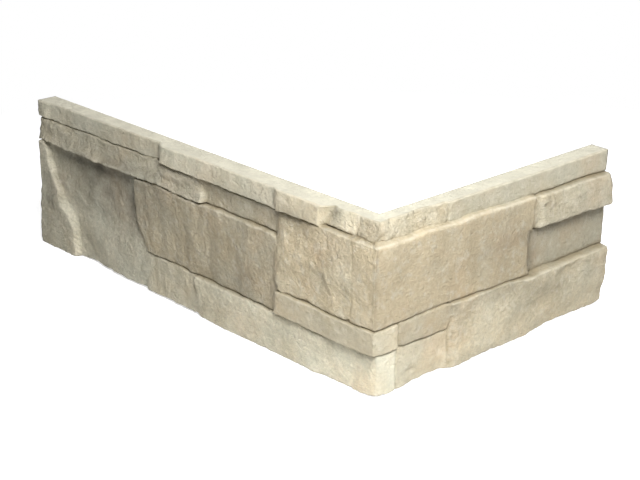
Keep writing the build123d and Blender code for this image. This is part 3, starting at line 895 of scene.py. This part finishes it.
def split_relief_tree(finish):
    """Lumps and pits of the split faces, which follow the casting's surface."""
    tree = bpy.data.node_groups.new("split_relief", "GeometryNodeTree")
    sockets = tree.interface
    sockets.new_socket("Casting", in_out="OUTPUT", socket_type="NodeSocketGeometry")
    sockets.new_socket("Casting", in_out="INPUT", socket_type="NodeSocketGeometry")
    for name in ("Lump size", "Lump height", "Pit spacing", "Pit depth", "Cast roughness", "Seed"):
        sockets.new_socket(name, in_out="INPUT", socket_type="NodeSocketFloat")
    for name in ("Mould low corner", "Mould high corner"):
        sockets.new_socket(name, in_out="INPUT", socket_type="NodeSocketVector")
    make = NodeMaker(tree)
    sizes = make("NodeGroupInput").outputs
    place = make("GeometryNodeInputPosition").outputs[0]
    normal = make("GeometryNodeInputNormal").outputs[0]
    amount = make("GeometryNodeInputNamedAttribute", {"Name": "lumps"}, data_type="FLOAT").outputs[0]
    slanting = slanting_grain(make, place)
    lump_scale = make.math("DIVIDE", 1.0, sizes["Lump size"])
    lumps = make("ShaderNodeTexNoise", {"Vector": slanting, "W": sizes["Seed"], "Scale": lump_scale,
                                        "Detail": 2.0}, noise_dimensions="4D").outputs[0]
    middle = 0.5
    lumps = make.math("MULTIPLY", make.math("SUBTRACT", lumps, middle), sizes["Lump height"])
    pit_scale = make.math("DIVIDE", 1.0, sizes["Pit spacing"])
    pits = make("ShaderNodeTexVoronoi", {"Vector": place, "W": sizes["Seed"], "Scale": pit_scale},
                voronoi_dimensions="4D").outputs["Distance"]
    pits = make.math("MULTIPLY", make.spread(pits, 0.0, PIT_RADIUS, 1.0, 0.0), sizes["Pit depth"])
    relief = make.math("SUBTRACT", lumps, pits)
    amount = make.math("MAXIMUM", amount, sizes["Cast roughness"])
    offset = make("ShaderNodeVectorMath", {0: normal, "Scale": make.math("MULTIPLY", relief, amount)},
                  operation="SCALE").outputs[0]
    moved = make("ShaderNodeVectorMath", {0: place, 1: offset}, operation="ADD").outputs[0]
    moved = make("ShaderNodeVectorMath", {0: moved, 1: sizes["Mould low corner"]}, operation="MAXIMUM")
    moved = make("ShaderNodeVectorMath", {0: moved.outputs[0], 1: sizes["Mould high corner"]},
                 operation="MINIMUM")
    moved = make("GeometryNodeSetPosition", {"Geometry": sizes["Casting"], "Position": moved.outputs[0]})
    smooth = make("GeometryNodeSetShadeSmooth", {"Geometry": moved.outputs[0]})
    real = make("GeometryNodeRealizeInstances", {"Geometry": smooth.outputs[0]})
    dressed = make("GeometryNodeSetMaterial", {"Geometry": real.outputs[0], "Material": finish})
    make("NodeGroupOutput", {"Casting": dressed.outputs[0]})
    return tree


def dress_with(blank, tree, name, **inputs):
    """The blank with a tree's work on it, as a plain mesh in an object of its own."""
    modifier = blank.modifiers.new(name, "NODES")
    modifier.node_group = tree
    for item in tree.interface.items_tree:
        key = item.name.lower().replace(" ", "_")
        if item.in_out == "INPUT" and key in inputs:
            modifier[item.identifier] = inputs[key]
    graph = bpy.context.evaluated_depsgraph_get()
    mesh = bpy.data.meshes.new_from_object(blank.evaluated_get(graph))
    mesh.name = name
    blank.modifiers.remove(modifier)
    bpy.data.objects.remove(blank)
    piece = bpy.data.objects.new(name, mesh)
    bpy.context.collection.objects.link(piece)
    return piece


def cast_stone():
    """Cream and grey cast stone: mottled, streaked, dark in the joints with dust and in the other hollows
    with painted shade, pale on the edges with wear and a painted highlight, and toned with stains and painted
    light and shade.
    """
    material = bpy.data.materials.new("cast_stone")
    make = NodeMaker(empty_tree(material))

    place = make("ShaderNodeTexCoord").outputs["Object"]

    def attribute(name):
        return make("ShaderNodeAttribute", attribute_name=name).outputs["Fac"]

    def noise(scale, detail=4.0, rough=0.55, where=None, twist=0.0):
        return make("ShaderNodeTexNoise", {"Vector": where or place, "Scale": scale, "Detail": detail,
                                           "Roughness": rough, "Distortion": twist}).outputs[0]

    def blend(share, first, second, blend_type="MIX"):
        mix = make("ShaderNodeMix", data_type="RGBA", blend_type=blend_type)
        colours = {"Factor_Float": share, "A_Color": first, "B_Color": second}
        for socket in mix.inputs:
            if socket.identifier in colours:
                make.feed(socket, colours[socket.identifier])
        return next(out for out in mix.outputs if out.identifier == "Result_Color")

    grey_white = (0.60, 0.575, 0.455, 1)
    tan = (0.60, 0.505, 0.342, 1)
    pale = (0.70, 0.65, 0.52, 1)
    shaded = (0.72, 0.73, 0.715, 1)
    rosy = (1.04, 0.98, 0.95, 1)
    laitance = (0.655, 0.625, 0.505, 1)
    dust_and_shade_brown = (0.185, 0.145, 0.075, 1)

    # Patterns, as waves to the metre
    warm_patches, rosy_patches, streaks, grain, speckles = 40, 26, 75, 210, 520
    worn_spots, skin_clouds, skin_specks, grit_size, chip_size = 150, 85, 420, 900, 300
    # Ranges of a pattern, and of the fine lumps, that are spread over a range of looks
    wide, narrow, lumpy = (0.3, 0.7), (0.35, 0.65), (0.3, 1.0)
    warm_change = 0.3
    dust_and_shade_share = 0.8
    grit_share = 0.35
    relief_height = 3.4 * MM
    streak_stretch = 0.5

    lumps = attribute("lumps")
    slanting = slanting_grain(make, place)
    upright = make("ShaderNodeVectorMath", {0: place, 1: (1, 1, streak_stretch)},
                   operation="MULTIPLY").outputs[0]

    patches = make.spread(noise(warm_patches), *wide, -warm_change, warm_change)
    colour = blend(make.math("ADD", attribute("warm"), patches, True), grey_white, tan)
    patch = make.math("MULTIPLY", make.spread(noise(streaks, where=upright), 0.42, 0.68),
                      make.spread(lumps, *lumpy, 0.35, 0.6))
    colour = blend(patch, colour, blend(1.0, colour, shaded, "MULTIPLY"))
    colour = blend(make.spread(noise(rosy_patches), 0.52, 0.7), colour, blend(1.0, colour, rosy, "MULTIPLY"))
    colour = blend(make.spread(noise(grain, where=slanting), 0.5, 0.72, 0, 0.6), colour, pale)
    speckle = make.spread(noise(speckles, 5, 0.7), *wide, 0.77, 1.13)
    colour = blend(make.spread(lumps, *lumpy, 0.4, 1.0), colour, blend(1.0, colour, speckle, "MULTIPLY"))
    # Tone of each stone, with the stains and the painted shade and highlights of the patches
    colour = blend(1.0, colour, make.math("ADD", attribute("tone"), 1.0), "MULTIPLY")
    # Pale edges: wear, with a painted highlight where they face up
    worn = make.math("MULTIPLY", attribute("wear"), make.spread(noise(worn_spots), 0.35, 0.6, 0.1, 0.6))
    colour = blend(worn, colour, pale)
    cloud = make.math("MULTIPLY", make.spread(noise(skin_clouds), *narrow, 0.92, 1.07),
                      make.spread(noise(skin_specks), *wide, 0.93, 1.05))
    skin = blend(1.0, laitance, cloud, "MULTIPLY")
    colour = blend(make.math("SUBTRACT", 1.0, attribute("split_face")), colour, skin)
    # Dark joints and hollows: dust in the joints, painted shade in the other hollows
    colour = blend(make.math("MULTIPLY", attribute("dust_and_painted_shade"), dust_and_shade_share), colour, dust_and_shade_brown)

    grit = noise(grit_size, 5, 0.65)
    chips = noise(chip_size, 5, 0.62, slanting, 0.8)
    height = make.math("ADD", make.math("MULTIPLY", grit, grit_share),
                       make.math("MULTIPLY", chips, 1 - grit_share))
    strength = make.spread(lumps, *lumpy, 0.6, 1.0)
    bump = make("ShaderNodeBump", {"Strength": strength, "Distance": relief_height, "Height": height})
    rough = make.spread(grit, *wide, 0.82, 0.97)
    shader = make("ShaderNodeBsdfPrincipled", {"Base Color": colour, "Roughness": rough,
                                               "Normal": bump.outputs[0], "Specular IOR Level": 0.25})
    make("ShaderNodeOutputMaterial", {"Surface": shader.outputs[0]})
    return material


def white_floor():
    """A plain pale floor that keeps the object's shadow and fades to white further off."""
    mesh = bpy.data.meshes.new("floor")
    half = 3.0
    corners = [(-half, -half, 0), (half, -half, 0), (half, half, 0), (-half, half, 0)]
    mesh.from_pydata(corners, [], [(0, 1, 2, 3)])
    floor = bpy.data.objects.new("floor", mesh)
    bpy.context.collection.objects.link(floor)
    material = bpy.data.materials.new("floor_paper")
    make = NodeMaker(empty_tree(material))
    place = make("ShaderNodeTexCoord").outputs["Object"]
    far = make("ShaderNodeVectorMath", {0: place}, operation="LENGTH").outputs["Value"]
    seen = make("ShaderNodeLightPath").outputs["Is Camera Ray"]
    to_object, to_camera = 0.75, 0.92  # how pale the paper is, as the object and the camera see it
    lift_strength = 0.58
    fade_from, fade_to = 0.3, 0.6  # metres from the object
    tint = make("ShaderNodeCombineColor", {name: make.spread(seen, 0, 1, to_object, to_camera)
                                           for name in ("Red", "Green", "Blue")}).outputs[0]
    paper = make("ShaderNodeBsdfDiffuse", {"Color": tint})
    lift = make("ShaderNodeEmission", {"Color": (1, 1, 1, 1),
                                       "Strength": make.math("MULTIPLY", seen, lift_strength)})
    lifted = make("ShaderNodeAddShader", {0: paper.outputs[0], 1: lift.outputs[0]})
    white = make("ShaderNodeEmission", {"Color": (1, 1, 1, 1), "Strength": 1.0})
    share = make.math("MULTIPLY", make.spread(far, fade_from, fade_to), seen)
    mix = make("ShaderNodeMixShader", {0: share, 1: lifted.outputs[0], 2: white.outputs[0]})
    make("ShaderNodeOutputMaterial", {"Surface": mix.outputs[0]})
    mesh.materials.append(material)
    return floor


def soft_light(name, place, aim, size, power):
    """A square white studio light that points at a place on the object."""
    data = bpy.data.lights.new(name, "AREA")
    data.shape = "SQUARE"
    data.size = size
    data.energy = power
    light = bpy.data.objects.new(name, data)
    light.location = place
    light.rotation_mode = "QUATERNION"
    light.rotation_quaternion = (Vector(aim) - Vector(place)).to_track_quat("-Z", "Y")
    bpy.context.collection.objects.link(light)


def studio():
    """White surroundings, a soft light from the right and above, a weak one from the side and one behind."""
    world = bpy.data.worlds.new("studio")
    make = NodeMaker(empty_tree(world))
    room_light = 0.06
    room = make("ShaderNodeBackground", {"Color": (1, 1, 1, 1), "Strength": room_light})
    white = make("ShaderNodeBackground", {"Color": (1, 1, 1, 1), "Strength": 1.0})
    seen = make("ShaderNodeLightPath").outputs["Is Camera Ray"]
    mix = make("ShaderNodeMixShader", {0: seen, 1: room.outputs[0], 2: white.outputs[0]})
    make("ShaderNodeOutputWorld", {"Surface": mix.outputs[0]})
    bpy.context.scene.world = world
    soft_light("key", place=(0.40, -0.30, 0.66), aim=(-0.02, 0.02, 0.05), size=0.32, power=10.5)
    soft_light("side", place=(0.45, 0.30, 0.72), aim=(0.0, 0.12, 0.05), size=0.5, power=1.6)
    soft_light("back", place=(-0.50, 0.55, 0.26), aim=(-0.08, 0.05, 0.05), size=0.5, power=2.0)


def photo_camera():
    """The camera at the photograph's place: a long lens a little above, level with the corner."""
    azimuth = math.radians(46.01)
    elevation = math.radians(21.24)
    roll = math.radians(0.918)
    distance = 0.8381
    aim_right = -0.0303
    aim_up = 0.0788
    back = Vector((math.sin(azimuth) * math.cos(elevation), -math.cos(azimuth) * math.cos(elevation),
                   math.sin(elevation)))
    level = Vector((math.cos(azimuth), math.sin(azimuth), 0))
    upward = back.cross(level)
    right = math.cos(roll) * level + math.sin(roll) * upward
    up = math.cos(roll) * upward - math.sin(roll) * level
    data = bpy.data.cameras.new("camera")
    data.sensor_width = 36.0
    data.lens = 84.5
    camera = bpy.data.objects.new("camera", data)
    place = aim_right * right + aim_up * up + distance * back
    camera.matrix_world = Matrix.Translation(place) @ Matrix((right, up, back)).transposed().to_4x4()
    bpy.context.collection.objects.link(camera)
    bpy.context.scene.camera = camera


finish = cast_stone()
casting = dress_with(
    casting_blank(), split_relief_tree(finish), "casting",
    lump_size=3.2 * MM, lump_height=1.1 * MM, pit_spacing=9 * MM, pit_depth=0.25 * MM,
    cast_roughness=0.3, seed=4.0, mould_low_corner=node_low, mould_high_corner=node_high,
)

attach(casting, "root")
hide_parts(NODE)

white_floor()
studio()
photo_camera()
bpy.context.scene.view_settings.view_transform = "Standard"
